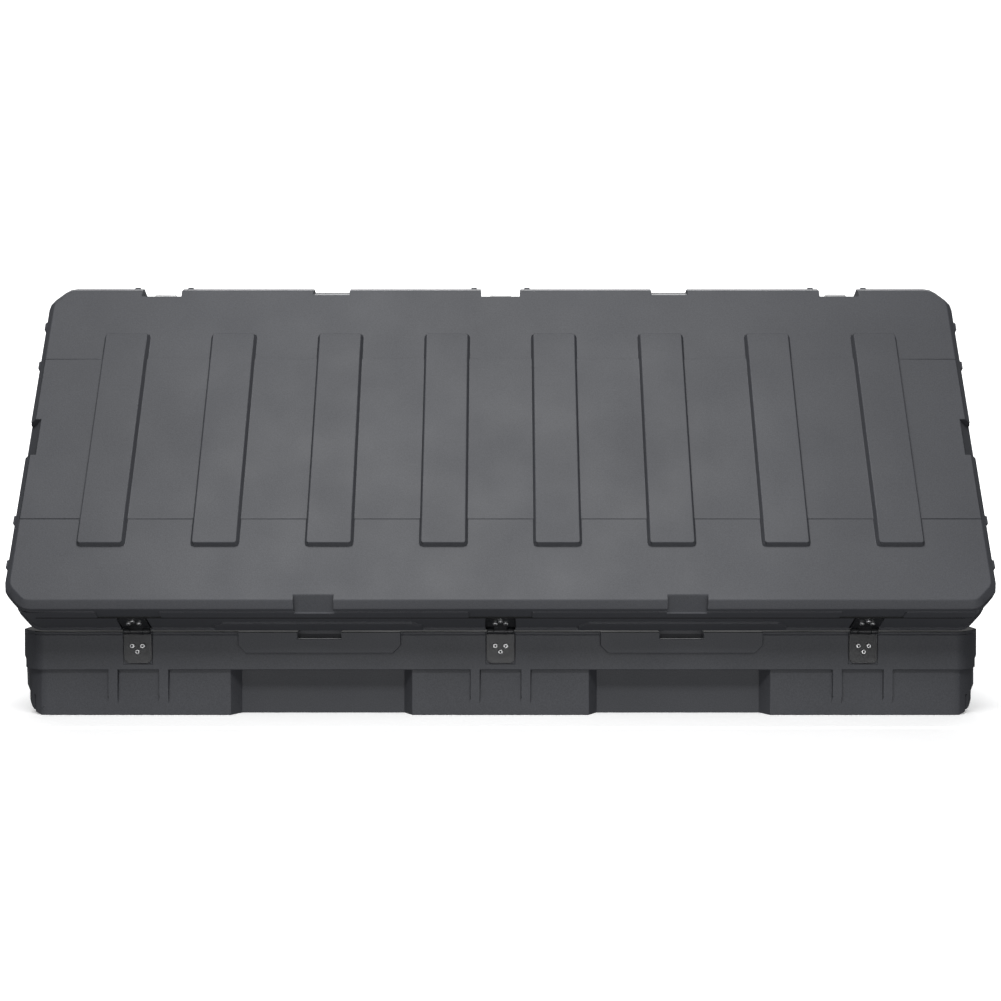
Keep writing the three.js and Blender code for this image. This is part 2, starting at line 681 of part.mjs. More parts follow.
function latchLug(x) {
  const out = outwards(1, LID_HALF_DEPTH, -OVERSHOOT, END_RIB_PROUD);
  return block(basicRange(x, LUG_WIDTH / 2), out, [LID_LOW + LIP_HEIGHT - OVERSHOOT, LID_TOP - TOP_BEVEL]);
}

// A strap notch cuts the top edge back on a slope, deeper than its bevel.
function sideNotch(x, side) {
  const reach = TOP_BEVEL + NOTCH_DEPTH;
  const fall = TOP_BEVEL + NOTCH_FALL;
  const face = LID_HALF_DEPTH;
  const points = [
    [side * (face - reach), LID_TOP],
    [side * face, LID_TOP - fall],
    [side * (face + reach), LID_TOP - fall],
    [side * (face + reach), LID_TOP + reach],
    [side * (face - reach), LID_TOP + reach],
  ];
  return alongX(points, x - STRAP_NOTCH / 2, x + STRAP_NOTCH / 2);
}

function endNotch(end) {
  const reach = TOP_BEVEL + NOTCH_DEPTH;
  const fall = TOP_BEVEL + NOTCH_FALL;
  const face = LID_HALF_WIDTH;
  const points = [
    [end * (face - reach), LID_TOP],
    [end * face, LID_TOP - fall],
    [end * (face + reach), LID_TOP - fall],
    [end * (face + reach), LID_TOP + reach],
    [end * (face - reach), LID_TOP + reach],
  ];
  return alongY(points, -END_NOTCH / 2, END_NOTCH / 2);
}

function lidPocket(x) {
  const across = basicRange(x, LATCH_POCKET / 2);
  const through = outwards(1, LID_HALF_DEPTH, -LID_POCKET_DEPTH, LIP_PROUD + OVERSHOOT);
  return block(across, through, [LID_LOW - OVERSHOOT, LID_TOP + OVERSHOOT]);
}

function lidPocketBacking(x) {
  const across = basicRange(x, LATCH_POCKET / 2 + WALL);
  const deep = -LID_POCKET_DEPTH - WALL;
  return block(across, outwards(1, LID_HALF_DEPTH, deep, 0), [LID_LOW, LID_TOP]);
}

function lidCavity() {
  const sides = toppedPrism(
    caseOutline(WALL - LID_OVERHANG),
    LID_LOW + RIM_DEPTH,
    LID_TOP - WALL,
    CAVITY_BEVEL,
    CAVITY_BEVEL,
  );
  const mouth = prism(caseOutline(RIM_LAND), LID_LOW - OVERSHOOT, LID_LOW + RIM_DEPTH + OVERSHOOT);
  return without(joined([sides, mouth]), FITTING_PLACES.map(lidPocketBacking));
}

function ring(outerInset, width, low, high) {
  const inner = prism(caseOutline(outerInset + width), low - OVERSHOOT, high + OVERSHOOT);
  return prism(caseOutline(outerInset), low, high).subtract(inner);
}

function makeLidShell() {
  const outside = [
    toppedPrism(caseOutline(-LID_OVERHANG), LID_LOW, LID_TOP, TOP_BEVEL, TOP_BEVEL),
    prism(caseOutline(-LID_OVERHANG - LIP_PROUD), LID_LOW, LID_LOW + LIP_HEIGHT),
    raisedMiddle(),
    endRails(),
  ];
  const cuts = [lidCavity(), ring(GROOVE_INSET, GASKET_GROOVE, LID_LOW - OVERSHOOT, LID_LOW + GROOVE_DEPTH)];
  for (let i = 0; i < BAR_COUNT; i += 1) {
    outside.push(topBar(i));
    cuts.push(barHollow(i));
  }
  for (const side of SIDES) {
    outside.push(...rubbingRails(side));
    END_RIB_SHARES.forEach((share) => outside.push(endRib(side, share * LID_HALF_DEPTH)));
    cuts.push(endNotch(side));
    for (const end of SIDES) {
      outside.push(lidFlange(end * STRAP_PLACE, side));
      cuts.push(sideNotch(end * STRAP_PLACE, side));
    }
  }
  for (const x of FITTING_PLACES) {
    for (const end of SIDES) outside.push(latchLug(x + end * LUG_PLACE));
    cuts.push(lidPocket(x));
    cuts.push(leafPocket(x, LID_LOW - OVERSHOOT, PIN_Z + LID_LEAF_REACH + LEAF_POCKET_GAP));
    leafScrewPlaces(x, 1).forEach(([sx, sz]) => cuts.push(shankHole(sx, sz, -1, leafFace())));
    keeperScrewPlaces(x).forEach(([sx, sz]) => cuts.push(shankHole(sx, sz, 1, keeperFace())));
  }
  return namedMesh("lid_shell", without(joined(outside), cuts), polyethylene);
}

function makeGasket() {
  const inset = GROOVE_INSET + (GASKET_GROOVE - GASKET_WIDTH) / 2;
  const shape = ring(inset, GASKET_WIDTH, LID_LOW - GASKET_STAND, LID_LOW + GROOVE_DEPTH - CLEAR);
  return namedMesh("lid_gasket", shape, rubber);
}

// ---- screws ----

// A button-head screw along Y: its head stands outwards from face, its shank runs inwards.
function makeScrew(name, x, z, side, face) {
  const profile = [
    new THREE.Vector2(0, -SCREW_SHANK_LENGTH),
    new THREE.Vector2(SCREW_SHANK_RADIUS, -SCREW_SHANK_LENGTH),
    new THREE.Vector2(SCREW_SHANK_RADIUS, CLEAR),
    new THREE.Vector2(SCREW_HEAD_RADIUS, CLEAR),
    new THREE.Vector2(SCREW_HEAD_RADIUS, CLEAR + SCREW_HEAD_HEIGHT * 0.3),
    new THREE.Vector2(SCREW_HEAD_RADIUS * 0.85, CLEAR + SCREW_HEAD_HEIGHT * 0.75),
    new THREE.Vector2(SCREW_HEAD_RADIUS * 0.6, CLEAR + SCREW_HEAD_HEIGHT),
    new THREE.Vector2(0, CLEAR + SCREW_HEAD_HEIGHT),
  ];
  const turned = new THREE.LatheGeometry(profile, SCREW_STEPS);
  const top = CLEAR + SCREW_HEAD_HEIGHT;
  const socket = new THREE.CylinderGeometry(SOCKET_RADIUS, SOCKET_RADIUS, SOCKET_DEPTH + OVERSHOOT, HEXAGON);
  socket.translate(0, top + OVERSHOOT / 2 - SOCKET_DEPTH / 2, 0);
  const screw = namedMesh(name, solid(turned).subtract(solid(socket)), stainless);
  screw.position.set(x, side * face, z);
  if (side < 0) screw.rotation.z = Math.PI;
  return screw;
}

// ---- hinges ----

// Where a leaf's outer face lies, from the case's middle.
function leafFace() {
  return HALF_DEPTH - LEAF_SINK + LEAF_THICK;
}

// Screw places of a leaf that runs up (1) or down (-1) from the pin.
function leafScrewPlaces(x, way) {
  return [
    [x - SCREW_SPREAD, PIN_Z + way * SCREW_NEAR],
    [x + SCREW_SPREAD, PIN_Z + way * SCREW_NEAR],
    [x, PIN_Z + way * SCREW_FAR],
  ];
}

function flatLeaf(x, way, reach) {
  const half = LEAF_WIDTH / 2;
  const near = PIN_Z + way * LEAF_START;
  const far = PIN_Z + way * reach;
  const points = [
    [x + half, near],
    [x + half, far - way * LEAF_CUT],
    [x + half - LEAF_CUT, far],
    [x - half + LEAF_CUT, far],
    [x - half, far - way * LEAF_CUT],
    [x - half, near],
  ];
  const order = way > 0 ? points : points.reverse();
  const face = leafFace();
  return alongY(order, -face, -face + LEAF_THICK);
}

// A knuckle and the web that carries it from its leaf.
function knuckle(x0, x1, way) {
  const face = leafFace();
  const web = [PIN_Z, PIN_Z + way * (LEAF_START + OVERSHOOT)].sort((a, b) => a - b);
  return joined([
    barAlongX(KNUCKLE_RADIUS, x0, x1, PIN_Y, PIN_Z),
    block([x0, x1], [-face, -face + LEAF_THICK], web),
    block([x0, x1], [PIN_Y, -face + LEAF_THICK], [Math.min(...kneeOf(way)), Math.max(...kneeOf(way))]),
  ]);
}

// The heights between which a knuckle's web joins its round part.
function kneeOf(way) {
  return [PIN_Z + (way * KNUCKLE_RADIUS) / 2, PIN_Z + way * (KNUCKLE_RADIUS - CLEAR)];
}

function pinHole(x0, x1) {
  return barAlongX(HINGE_PIN_RADIUS + RUNNING_GAP, x0 - OVERSHOOT, x1 + OVERSHOOT, PIN_Y, PIN_Z);
}

function makeLeaf(name, x, way) {
  const half = LEAF_WIDTH / 2 - PIN_HEAD_LENGTH - CLEAR;
  const inner = MIDDLE_KNUCKLE / 2;
  const reach = way > 0 ? LID_LEAF_REACH : BASE_LEAF_REACH;
  const spans = way > 0 ? [[x - inner, x + inner]] : [
    [x - half, x - inner - KNUCKLE_GAP],
    [x + inner + KNUCKLE_GAP, x + half],
  ];
  const pieces = [flatLeaf(x, way, reach), ...spans.map(([x0, x1]) => knuckle(x0, x1, way))];
  const face = leafFace();
  const holes = leafScrewPlaces(x, way).map(([sx, sz]) =>
    barAlongY(SCREW_SHANK_RADIUS + CLEAR, -face - OVERSHOOT, -face + LEAF_THICK + OVERSHOOT, sx, sz),
  );
  const shape = without(joined(pieces), [...holes, pinHole(x - half, x + half)]);
  return namedMesh(name, shape, blackSteel);
}

function makeHingePin(name, x) {
  const half = LEAF_WIDTH / 2;
  const pin = joined([
    barAlongX(HINGE_PIN_RADIUS, x - half, x + half, PIN_Y, PIN_Z),
    barAlongX(PIN_HEAD_RADIUS, x - half, x - half + PIN_HEAD_LENGTH, PIN_Y, PIN_Z),
    barAlongX(PIN_HEAD_RADIUS, x + half - PIN_HEAD_LENGTH, x + half, PIN_Y, PIN_Z),
  ]);
  return namedMesh(name, pin, blackSteel);
}

// ---- latches ----

function bracketFace() {
  return HALF_DEPTH - BASE_POCKET_DEPTH + CLEAR + BRACKET_THICK;
}

function bracketScrewPlaces(x) {
  return SIDES.map((end) => [x + end * FITTING_SCREW_SPREAD, LATCH_PIN_HEIGHT - BRACKET_HEIGHT / 4]);
}

// A plate with two ears that hold the latch pin.
function makeBracket(name, x) {
  const face = bracketFace();
  const low = LATCH_PIN_HEIGHT - BRACKET_HEIGHT / 2;
  const high = LATCH_PIN_HEIGHT + BRACKET_HEIGHT / 2;
  const inner = ARM_WIDTH / 2 + EAR_GAP;
  const half = inner + EAR_THICK;
  const earTop = HALF_DEPTH + LATCH_PIN_OUT + LATCH_BOSS_RADIUS;
  const ear = [
    [face - BRACKET_THICK, low],
    [earTop - LATCH_BOSS_RADIUS, low + BRACKET_HEIGHT / 4],
    [earTop, LATCH_PIN_HEIGHT - LATCH_BOSS_RADIUS / 2],
    [earTop, LATCH_PIN_HEIGHT + LATCH_BOSS_RADIUS / 2],
    [earTop - LATCH_BOSS_RADIUS, high - BRACKET_HEIGHT / 4],
    [face - BRACKET_THICK, high],
  ];
  const plate = block([x - half, x + half], [face - BRACKET_THICK, face], [low, high]);
  const holes = bracketScrewPlaces(x).map(([sx, sz]) =>
    barAlongY(SCREW_SHANK_RADIUS + CLEAR, face - BRACKET_THICK - OVERSHOOT, face + OVERSHOOT, sx, sz),
  );
  const pinWay = latchPinBar(x, LATCH_PIN_RADIUS + CLEAR, half + OVERSHOOT);
  const pieces = [plate, alongX(ear, x - half, x - inner), alongX(ear, x + inner, x + half)];
  return namedMesh(name, without(joined(pieces), [...holes, pinWay]), stainless);
}

function latchPinBar(x, radius, half) {
  return barAlongX(radius, x - half, x + half, HALF_DEPTH + LATCH_PIN_OUT, LATCH_PIN_HEIGHT);
}

function makeLatchPin(name, x) {
  const half = ARM_WIDTH / 2 + EAR_GAP + EAR_THICK;
  return namedMesh(name, latchPinBar(x, LATCH_PIN_RADIUS, half), stainless);
}

// The arm as it stands when it holds the lid: up from the pin, hooked over the keeper.
function armShape(x) {
  const middle = HALF_DEPTH + LATCH_PIN_OUT;
  const inner = middle - ARM_THICK / 2;
  const outer = middle + ARM_THICK / 2;
  const hook = LID_TOP - KEEPER_PLACE + 2 * CLEAR;
  const over = hook + HOOK_THICK;
  const points = [
    [inner, LATCH_PIN_HEIGHT],
    [outer, LATCH_PIN_HEIGHT],
    [outer, over],
    [outer + PULL_LEAN, over + PULL_LENGTH],
    [outer + PULL_LEAN - ARM_THICK, over + PULL_LENGTH],
    [inner - OVERSHOOT, over],
    [inner - HOOK_REACH, over],
    [inner - HOOK_REACH, hook],
    [inner, hook],
  ];
  const half = ARM_WIDTH / 2;
  const boss = latchPinBar(x, LATCH_BOSS_RADIUS, half);
  const pinWay = latchPinBar(x, LATCH_PIN_RADIUS + RUNNING_GAP, half + OVERSHOOT);
  return without(joined([alongX(points, x - half, x + half), boss]), [pinWay]);
}

// The arm hangs straight down from its pin while the lid is open.
function makeLatchArm(name, x) {
  const arm = namedMesh(name, armShape(x), blackNylon);
  const axis = new THREE.Vector3(0, HALF_DEPTH + LATCH_PIN_OUT, LATCH_PIN_HEIGHT);
  arm.geometry.translate(0, -axis.y, -axis.z);
  arm.position.copy(axis);
  arm.rotation.x = Math.PI;
  return arm;
}

function keeperFace() {
  return LID_HALF_DEPTH - LID_POCKET_DEPTH + CLEAR + KEEPER_PLATE;
}

function keeperMiddle() {
  return LID_TOP - KEEPER_PLACE - KEEPER_THICK / 2;
}

function keeperScrewPlaces(x) {
  const z = keeperMiddle() - KEEPER_PLATE_HEIGHT / 4 - KEEPER_THICK / 4;
  return SIDES.map((end) => [x + end * FITTING_SCREW_SPREAD, z]);
}

// A plate in the lid's pocket with the tab that the latch hooks over.
function makeKeeper(name, x) {
  const face = keeperFace();
  const low = keeperMiddle() - KEEPER_PLATE_HEIGHT / 2 - KEEPER_THICK;
  const high = keeperMiddle() + KEEPER_THICK;
  const tab = block(
    basicRange(x, KEEPER_WIDTH / 2),
    [face - OVERSHOOT, HALF_DEPTH - OVERSHOOT],
    basicRange(keeperMiddle(), KEEPER_THICK / 2),
  );
  const plate = block(basicRange(x, KEEPER_PLATE_WIDTH / 2), [face - KEEPER_PLATE, face], [low, high]);
  const holes = keeperScrewPlaces(x).map(([sx, sz]) =>
    barAlongY(SCREW_SHANK_RADIUS + CLEAR, face - KEEPER_PLATE - OVERSHOOT, face + OVERSHOOT, sx, sz),
  );
  return namedMesh(name, without(joined([plate, tab]), holes), stainless);
}

// ---- pressure valve ----

function valveZ() {
  return BAND_LOW + BAND_HEIGHT / 2;
}

function makeValve() {
  const profile = [
    new THREE.Vector2(0, -WALL - CLEAR),
    new THREE.Vector2(VALVE_STEM_RADIUS, -WALL - CLEAR),
    new THREE.Vector2(VALVE_STEM_RADIUS, CLEAR),
    new THREE.Vector2(VALVE_RADIUS, CLEAR),
    new THREE.Vector2(VALVE_RADIUS, VALVE_PROUD / 2),
    new THREE.Vector2(VALVE_RADIUS - VALVE_PROUD / 2, VALVE_PROUD),
    new THREE.Vector2(0, VALVE_PROUD),
  ];
  const cuts = Array.from({ length: VALVE_SLOTS }, (_, i) => {
    const slot = new THREE.BoxGeometry(VALVE_RADIUS / 2, VALVE_PROUD / 2, VALVE_PROUD / 2);
    slot.translate(VALVE_RADIUS / 2, VALVE_PROUD, 0);
    slot.rotateY((i / VALVE_SLOTS) * 2 * Math.PI);
    return solid(slot);
  });
  const shape = without(solid(new THREE.LatheGeometry(profile, ROUND_STEPS)), cuts);
  const valve = namedMesh("pressure_valve", shape, blackNylon);
  valve.position.set(VALVE_PLACE, HALF_DEPTH, valveZ());
  return valve;
}

// ---- the whole case ----

const transportCase = new THREE.Group();
const base = new THREE.Group();
const hingeLine = new THREE.Group();
const lid = new THREE.Group();
transportCase.add(base, hingeLine);
hingeLine.add(lid);
hingeLine.position.set(0, PIN_Y, PIN_Z);
hingeLine.rotation.x = LID_OPEN;
lid.position.set(0, -PIN_Y, -PIN_Z);

base.add(makeBaseShell(), makeValve());
lid.add(makeLidShell(), makeGasket());
FITTING_PLACES.forEach((x, i) => {
  const place = FITTING_NAMES[i];
  base.add(makeLeaf(`hinge_${place}_base_leaf`, x, -1));
  base.add(makeHingePin(`hinge_${place}_pin`, x));
  lid.add(makeLeaf(`hinge_${place}_lid_leaf`, x, 1));
  leafScrewPlaces(x, -1).forEach(([sx, sz], n) =>
    base.add(makeScrew(`hinge_${place}_base_screw_${n + 1}`, sx, sz, -1, leafFace())),
  );
  leafScrewPlaces(x, 1).forEach(([sx, sz], n) =>
    lid.add(makeScrew(`hinge_${place}_lid_screw_${n + 1}`, sx, sz, -1, leafFace())),
  );
  base.add(makeBracket(`latch_${place}_bracket`, x));
  base.add(makeLatchPin(`latch_${place}_pin`, x));
  base.add(makeLatchArm(`latch_${place}_arm`, x));
  bracketScrewPlaces(x).forEach(([sx, sz], n) =>
    base.add(makeScrew(`latch_${place}_screw_${n + 1}`, sx, sz, 1, bracketFace())),
  );
  lid.add(makeKeeper(`keeper_${place}`, x));
  keeperScrewPlaces(x).forEach(([sx, sz], n) =>
    lid.add(makeScrew(`keeper_${place}_screw_${n + 1}`, sx, sz, 1, keeperFace())),
  );
});

export default transportCase;
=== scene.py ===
# %% [markdown]
# # A long moulded transport case, standing open on its rear hinges
#
# The solid model is loaded first and stays where it is: its boxes say where every piece goes.
# All lengths are metres. +X runs along the case, the hinges are on the -Y side and the ground
# is Z = 0. The case stands open, so a piece of the lid is shaped as if the lid were shut and
# is then swung open about the hinge pins.

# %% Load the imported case
import json
import math

import bpy
from mathutils import Matrix, Vector


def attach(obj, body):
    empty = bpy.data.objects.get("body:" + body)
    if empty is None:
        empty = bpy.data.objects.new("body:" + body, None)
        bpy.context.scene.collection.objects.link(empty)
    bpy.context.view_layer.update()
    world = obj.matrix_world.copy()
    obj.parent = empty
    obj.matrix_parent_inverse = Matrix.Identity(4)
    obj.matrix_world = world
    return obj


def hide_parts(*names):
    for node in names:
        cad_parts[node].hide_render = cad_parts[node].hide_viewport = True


# A new Blender scene starts with a cube and a lamp that have no place in this studio.
for spare in ("Cube", "Light"):
    if spare in bpy.data.objects:
        bpy.data.objects.remove(bpy.data.objects[spare])
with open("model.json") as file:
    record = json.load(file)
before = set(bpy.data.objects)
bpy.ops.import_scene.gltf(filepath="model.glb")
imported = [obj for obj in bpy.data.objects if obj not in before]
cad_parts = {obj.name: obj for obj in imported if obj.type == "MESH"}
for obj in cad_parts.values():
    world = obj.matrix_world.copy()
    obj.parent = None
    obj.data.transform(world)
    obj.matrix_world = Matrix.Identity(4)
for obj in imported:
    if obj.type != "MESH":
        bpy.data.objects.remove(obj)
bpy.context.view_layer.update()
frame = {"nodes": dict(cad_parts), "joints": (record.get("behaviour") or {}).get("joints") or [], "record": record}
MM = 0.001
JOINTS = {joint["name"]: joint for joint in frame["joints"]}
PIN = Vector(JOINTS["lid_hinge"]["pos_m"])
LID_OPEN = -math.radians(JOINTS["lid_hinge"]["range_deg"][0])
SWING_OPEN = (
    Matrix.Translation(PIN) @ Matrix.Rotation(LID_OPEN, 4, "X") @ Matrix.Translation(-PIN)
)
SWING_SHUT = SWING_OPEN.inverted()
print("nodes:", len(frame["nodes"]), "lid open by", round(math.degrees(LID_OPEN)), "degrees")

# %% [markdown]
# ## Camera
#
# A product picture of a long, low object is taken from a few steps away with a lens a little
# longer than normal, so that its straight edges stay straight. The camera faces the hinges,
# stands just above the middle of the open lid and tips down by one degree.

# %% Camera
EYE = (0.0, -2.3406, 0.3458)
TIP_DOWN = math.radians(1.0)
LENS = 52.04


def nothing_selected():
    bpy.ops.object.select_all(action="DESELECT")


nothing_selected()
bpy.ops.object.camera_add(location=EYE, rotation=(math.pi / 2 - TIP_DOWN, 0, 0))
camera = bpy.context.object
camera.name = "camera"
camera.data.lens = LENS
camera.data.sensor_width = 36
camera.data.clip_end = 60
bpy.context.scene.camera = camera
print("camera", [round(v, 3) for v in camera.location])

# %% [markdown]
# ## Studio
#
# White seamless paper runs along the floor and curves up behind the case. It starts as a plane;
# its far edge is extruded up and the fold is bevelled into a wide curve. A white floor would
# throw so much light up that the undersides lost their shade, so the paper's light is kept off
# the case, and the paper glows a little to stay white in spite of the case's shadow.

# %% Paper sweep
SWEEP_WIDTH = 24
SWEEP_DEPTH = 14
SWEEP_MIDDLE = 1.5
SWEEP_HEIGHT = 7
FOLD_RADIUS = 2.0


def active_only(obj):
    nothing_selected()
    obj.select_set(True)
    bpy.context.view_layer.objects.active = obj


def edit_mode(obj):
    active_only(obj)
    bpy.ops.object.mode_set(mode="EDIT")


def object_mode():
    bpy.ops.object.mode_set(mode="OBJECT")


def choose(obj, kind, wanted):
    """Selects only the vertices, edges or faces of a mesh that pass a test, in edit mode.

    The test is given a vertex's place, an edge's two ends, or a face's centre and normal.
    """
    object_mode()
    mesh = obj.data
    parts = {"VERT": mesh.vertices, "EDGE": mesh.edges, "FACE": mesh.polygons}
    measures = {
        "VERT": lambda vertex: (vertex.co,),
        "EDGE": lambda edge: [mesh.vertices[i].co for i in edge.vertices],
        "FACE": lambda face: (face.center, face.normal),
    }
    for group in parts.values():
        group.foreach_set("select", [False] * len(group))
    count = 0
    for part in parts[kind]:
        part.select = bool(wanted(*measures[kind](part)))
        count += part.select
    bpy.ops.object.mode_set(mode="EDIT")
    bpy.ops.mesh.select_mode(type=kind)
    return count


nothing_selected()
bpy.ops.mesh.primitive_plane_add(size=1, location=(0, 0, 0))
paper = bpy.context.object
paper.name = "paper_sweep"
edit_mode(paper)
bpy.ops.transform.resize(value=(SWEEP_WIDTH, SWEEP_DEPTH, 1))
bpy.ops.transform.translate(value=(0, SWEEP_MIDDLE, 0))
far_edge = SWEEP_MIDDLE + SWEEP_DEPTH / 2
choose(paper, "EDGE", lambda a, b: min(a.y, b.y) > far_edge - MM)
bpy.ops.mesh.extrude_region_move(TRANSFORM_OT_translate={"value": (0, 0, SWEEP_HEIGHT)})
choose(paper, "EDGE", lambda a, b: min(a.y, b.y) > far_edge - MM and max(a.z, b.z) < MM)
bpy.ops.mesh.bevel(offset=FOLD_RADIUS, segments=16)
object_mode()
bpy.ops.object.shade_smooth()
paper.visible_diffuse = False
paper.visible_glossy = False
print("paper faces:", len(paper.data.polygons))

# %% [markdown]
# ### Lamps
#
# One broad softbox hangs high in front, so the lid's top is the brightest face and the walls
# below it, under the lid's overhang, fall away to darker tones. A weak one above fills the
# bars, a low one near the camera keeps the hinges readable, and a narrow card on the floor
# lifts the lid's underside. One behind lights the inside for a look from the latch side, and
# the last lights only the paper far behind.

# %% Lamps
# Each lamp has its place, the place it faces, its width and height, and its power in watts.
LAMPS = {
    "overhead_softbox": ((-0.2, -1.3, 2.9), (0, -0.2, 0.3), (2.0, 1.0), 4),
    "front_softbox": ((-0.12, -2.0, 2.4), (0, -0.27, 0.15), (2.2, 1.0), 67),
    "low_fill": ((0.0, -3.4, 0.3), (0, -0.2, 0.1), (2.2, 0.6), 11),
    "floor_card": ((0.0, -0.62, 0.005), (0, -0.5, 0.25), (1.9, 0.02), 1.3),
    "rear_softbox": ((0.0, 2.5, 2.1), (0, 0.1, 0.2), (2.4, 1.2), 30),
    "paper_lamp": ((0.0, 4.2, 5.6), (0, 7.5, 0.8), (9, 2.5), 900),
}


def softbox(name, location, target, size, power):
    """A rectangular lamp at one place that faces another."""
    aim = (Vector(target) - Vector(location)).to_track_quat("-Z", "Y")
    bpy.ops.object.light_add(type="AREA", location=location, rotation=aim.to_euler())
    lamp = bpy.context.object
    lamp.name = name
    lamp.data.shape = "RECTANGLE"
    lamp.data.size, lamp.data.size_y = size
    lamp.data.energy = power
    return lamp


lamps = {name: softbox(name, *values) for name, values in LAMPS.items()}
lamps["floor_card"].visible_camera = False
print("lamps:", list(lamps))

# %% Paper and surroundings
PAPER_WHITE = 0.94
PAPER_GLOW = 0.32
ROOM_COLOUR = (0.93, 0.96, 1.0)
ROOM_LIGHT = 0.1

paper_material = bpy.data.materials.new("seamless_paper")
paper_material.use_nodes = True
paper_shader = paper_material.node_tree.nodes["Principled BSDF"]
paper_shader.inputs["Base Color"].default_value = (*(PAPER_WHITE,) * 3, 1)
paper_shader.inputs["Roughness"].default_value = 0.95
paper_shader.inputs["Emission Color"].default_value = (1, 1, 1, 1)
paper_shader.inputs["Emission Strength"].default_value = PAPER_GLOW
paper.data.materials.append(paper_material)

world = bpy.data.worlds.new("studio_room")
bpy.context.scene.world = world
world.use_nodes = True
background = world.node_tree.nodes["Background"]
background.inputs["Color"].default_value = (*ROOM_COLOUR, 1)
background.inputs["Strength"].default_value = ROOM_LIGHT
bpy.context.scene.view_settings.view_transform = "Standard"
print("paper", PAPER_WHITE, "room", ROOM_LIGHT)

# %% [markdown]
# ## Moulded polyethylene
#
# The shells are rotational mouldings: powder melts against a textured mould, so the skin is
# satin, with a fine pebble grain, faint cloudy patches where the wall cooled at different
# rates, and a little more gloss on some patches than on others. Three noises at three scales
# give this, read in Object coordinates so that they stay fixed to the piece: broad clouds for
# the tone, a middle size for the gloss and a fine one for the pebbles in colour and in bump.

# %% Shell material
SHELL_DARK = (0.067, 0.069, 0.077)
SHELL_LIGHT = (0.075, 0.0775, 0.0865)


class Nodes:
    """A short way to add nodes to one material and to link them."""

    def __init__(self, name):
        self.material = bpy.data.materials.new(name)
        self.material.use_nodes = True
        self.tree = self.material.node_tree
        self.shader = self.tree.nodes["Principled BSDF"]
        self.place = self.tree.nodes.new("ShaderNodeTexCoord").outputs["Object"]

    def add(self, kind, **values):
        node = self.tree.nodes.new(kind)
        for name, value in values.items():
            node.inputs[name.replace("_", " ")].default_value = value
        return node

    def link(self, source, target):
        self.tree.links.new(source, target)

    def noise(self, scale, detail=2.0, stretch=None):
        node = self.add("ShaderNodeTexNoise", Scale=scale, Detail=detail)
        source = self.place
        if stretch:
            mapping = self.add("ShaderNodeMapping")
            mapping.inputs["Scale"].default_value = stretch
            self.link(source, mapping.inputs["Vector"])
            source = mapping.outputs["Vector"]
        self.link(source, node.inputs["Vector"])
        return node.outputs["Fac"]

    def spread(self, value, low, high, start=0.3, end=0.7):
        """Maps a noise onto a range of numbers."""
        node = self.add("ShaderNodeMapRange")
        limits = {"From Min": start, "From Max": end, "To Min": low, "To Max": high}
        for name, number in limits.items():
            node.inputs[name].default_value = number
        self.link(value, node.inputs["Value"])
        return node.outputs["Result"]

    def ramp(self, value, *stops):
        node = self.tree.nodes.new("ShaderNodeValToRGB")
        elements = node.color_ramp.elements
        while len(elements) < len(stops):
            elements.new(0.5)
        for element, (position, colour) in zip(elements, stops):
            element.position = position
            element.color = (*colour, 1)
        self.link(value, node.inputs["Fac"])
        return node.outputs["Color"]

    def mix(self, blend, factor, first, second):
        node = self.tree.nodes.new("ShaderNodeMix")
        node.data_type = "RGBA"
        node.blend_type = blend
        node.inputs["Factor"].default_value = factor
        self.link(first, node.inputs["A"])
        self.link(second, node.inputs["B"])
        return node.outputs["Result"]

    def bump(self, height, strength, distance, under=None):
        node = self.add("ShaderNodeBump", Strength=strength, Distance=distance)
        self.link(height, node.inputs["Height"])
        if under:
            self.link(under, node.inputs["Normal"])
        return node.outputs["Normal"]


CLOUDS, GLOSS_PATCHES, RIPPLES, PEBBLES = 4.5, 11, 55, 620  # noise scales, coarse to fine


def moulded_plastic(name, dark, light, gloss=(0.5, 0.57), pebble=0.35):
    made = Nodes(name)
    clouds = made.ramp(made.noise(CLOUDS, 3.0), (0.32, dark), (0.68, light))
    grain = made.noise(PEBBLES, 1.0)
    tone = made.ramp(grain, (0.25, (0.86,) * 3), (0.75, (1.12,) * 3))
    made.link(made.mix("MULTIPLY", 1.0, clouds, tone), made.shader.inputs["Base Color"])
    made.link(made.spread(made.noise(GLOSS_PATCHES), *gloss), made.shader.inputs["Roughness"])
    soft = made.bump(made.noise(RIPPLES), 0.12, 0.6 * MM)
    made.link(made.bump(grain, pebble, 0.25 * MM, soft), made.shader.inputs["Normal"])
    made.shader.inputs["Specular IOR Level"].default_value = 0.42
    return made.material


shell_material = moulded_plastic("moulded_polyethylene", SHELL_DARK, SHELL_LIGHT)
print("shell material nodes:", len(shell_material.node_tree.nodes))

# %% [markdown]
# ## Metals, nylon and rubber
#
# The hinges are steel under a black powder coat with a slight orange peel. The screws are
# bright stainless, turned and lightly scratched. The latch brackets and keepers are brushed,
# which is a noise stretched long in one direction. The latch arms are black nylon and the
# gasket is a dull extruded rubber.

# %% Fitting materials
def powder_coat(name, dark, light):
    made = Nodes(name)
    tone = made.ramp(made.noise(60), (0.3, dark), (0.7, light))
    made.link(tone, made.shader.inputs["Base Color"])
    made.link(made.spread(made.noise(160), 0.3, 0.42), made.shader.inputs["Roughness"])
    made.link(made.bump(made.noise(420, 1.0), 0.25, 0.1 * MM), made.shader.inputs["Normal"])
    made.shader.inputs["Coat Weight"].default_value = 0.25
    made.shader.inputs["Coat Roughness"].default_value = 0.25
    return made.material


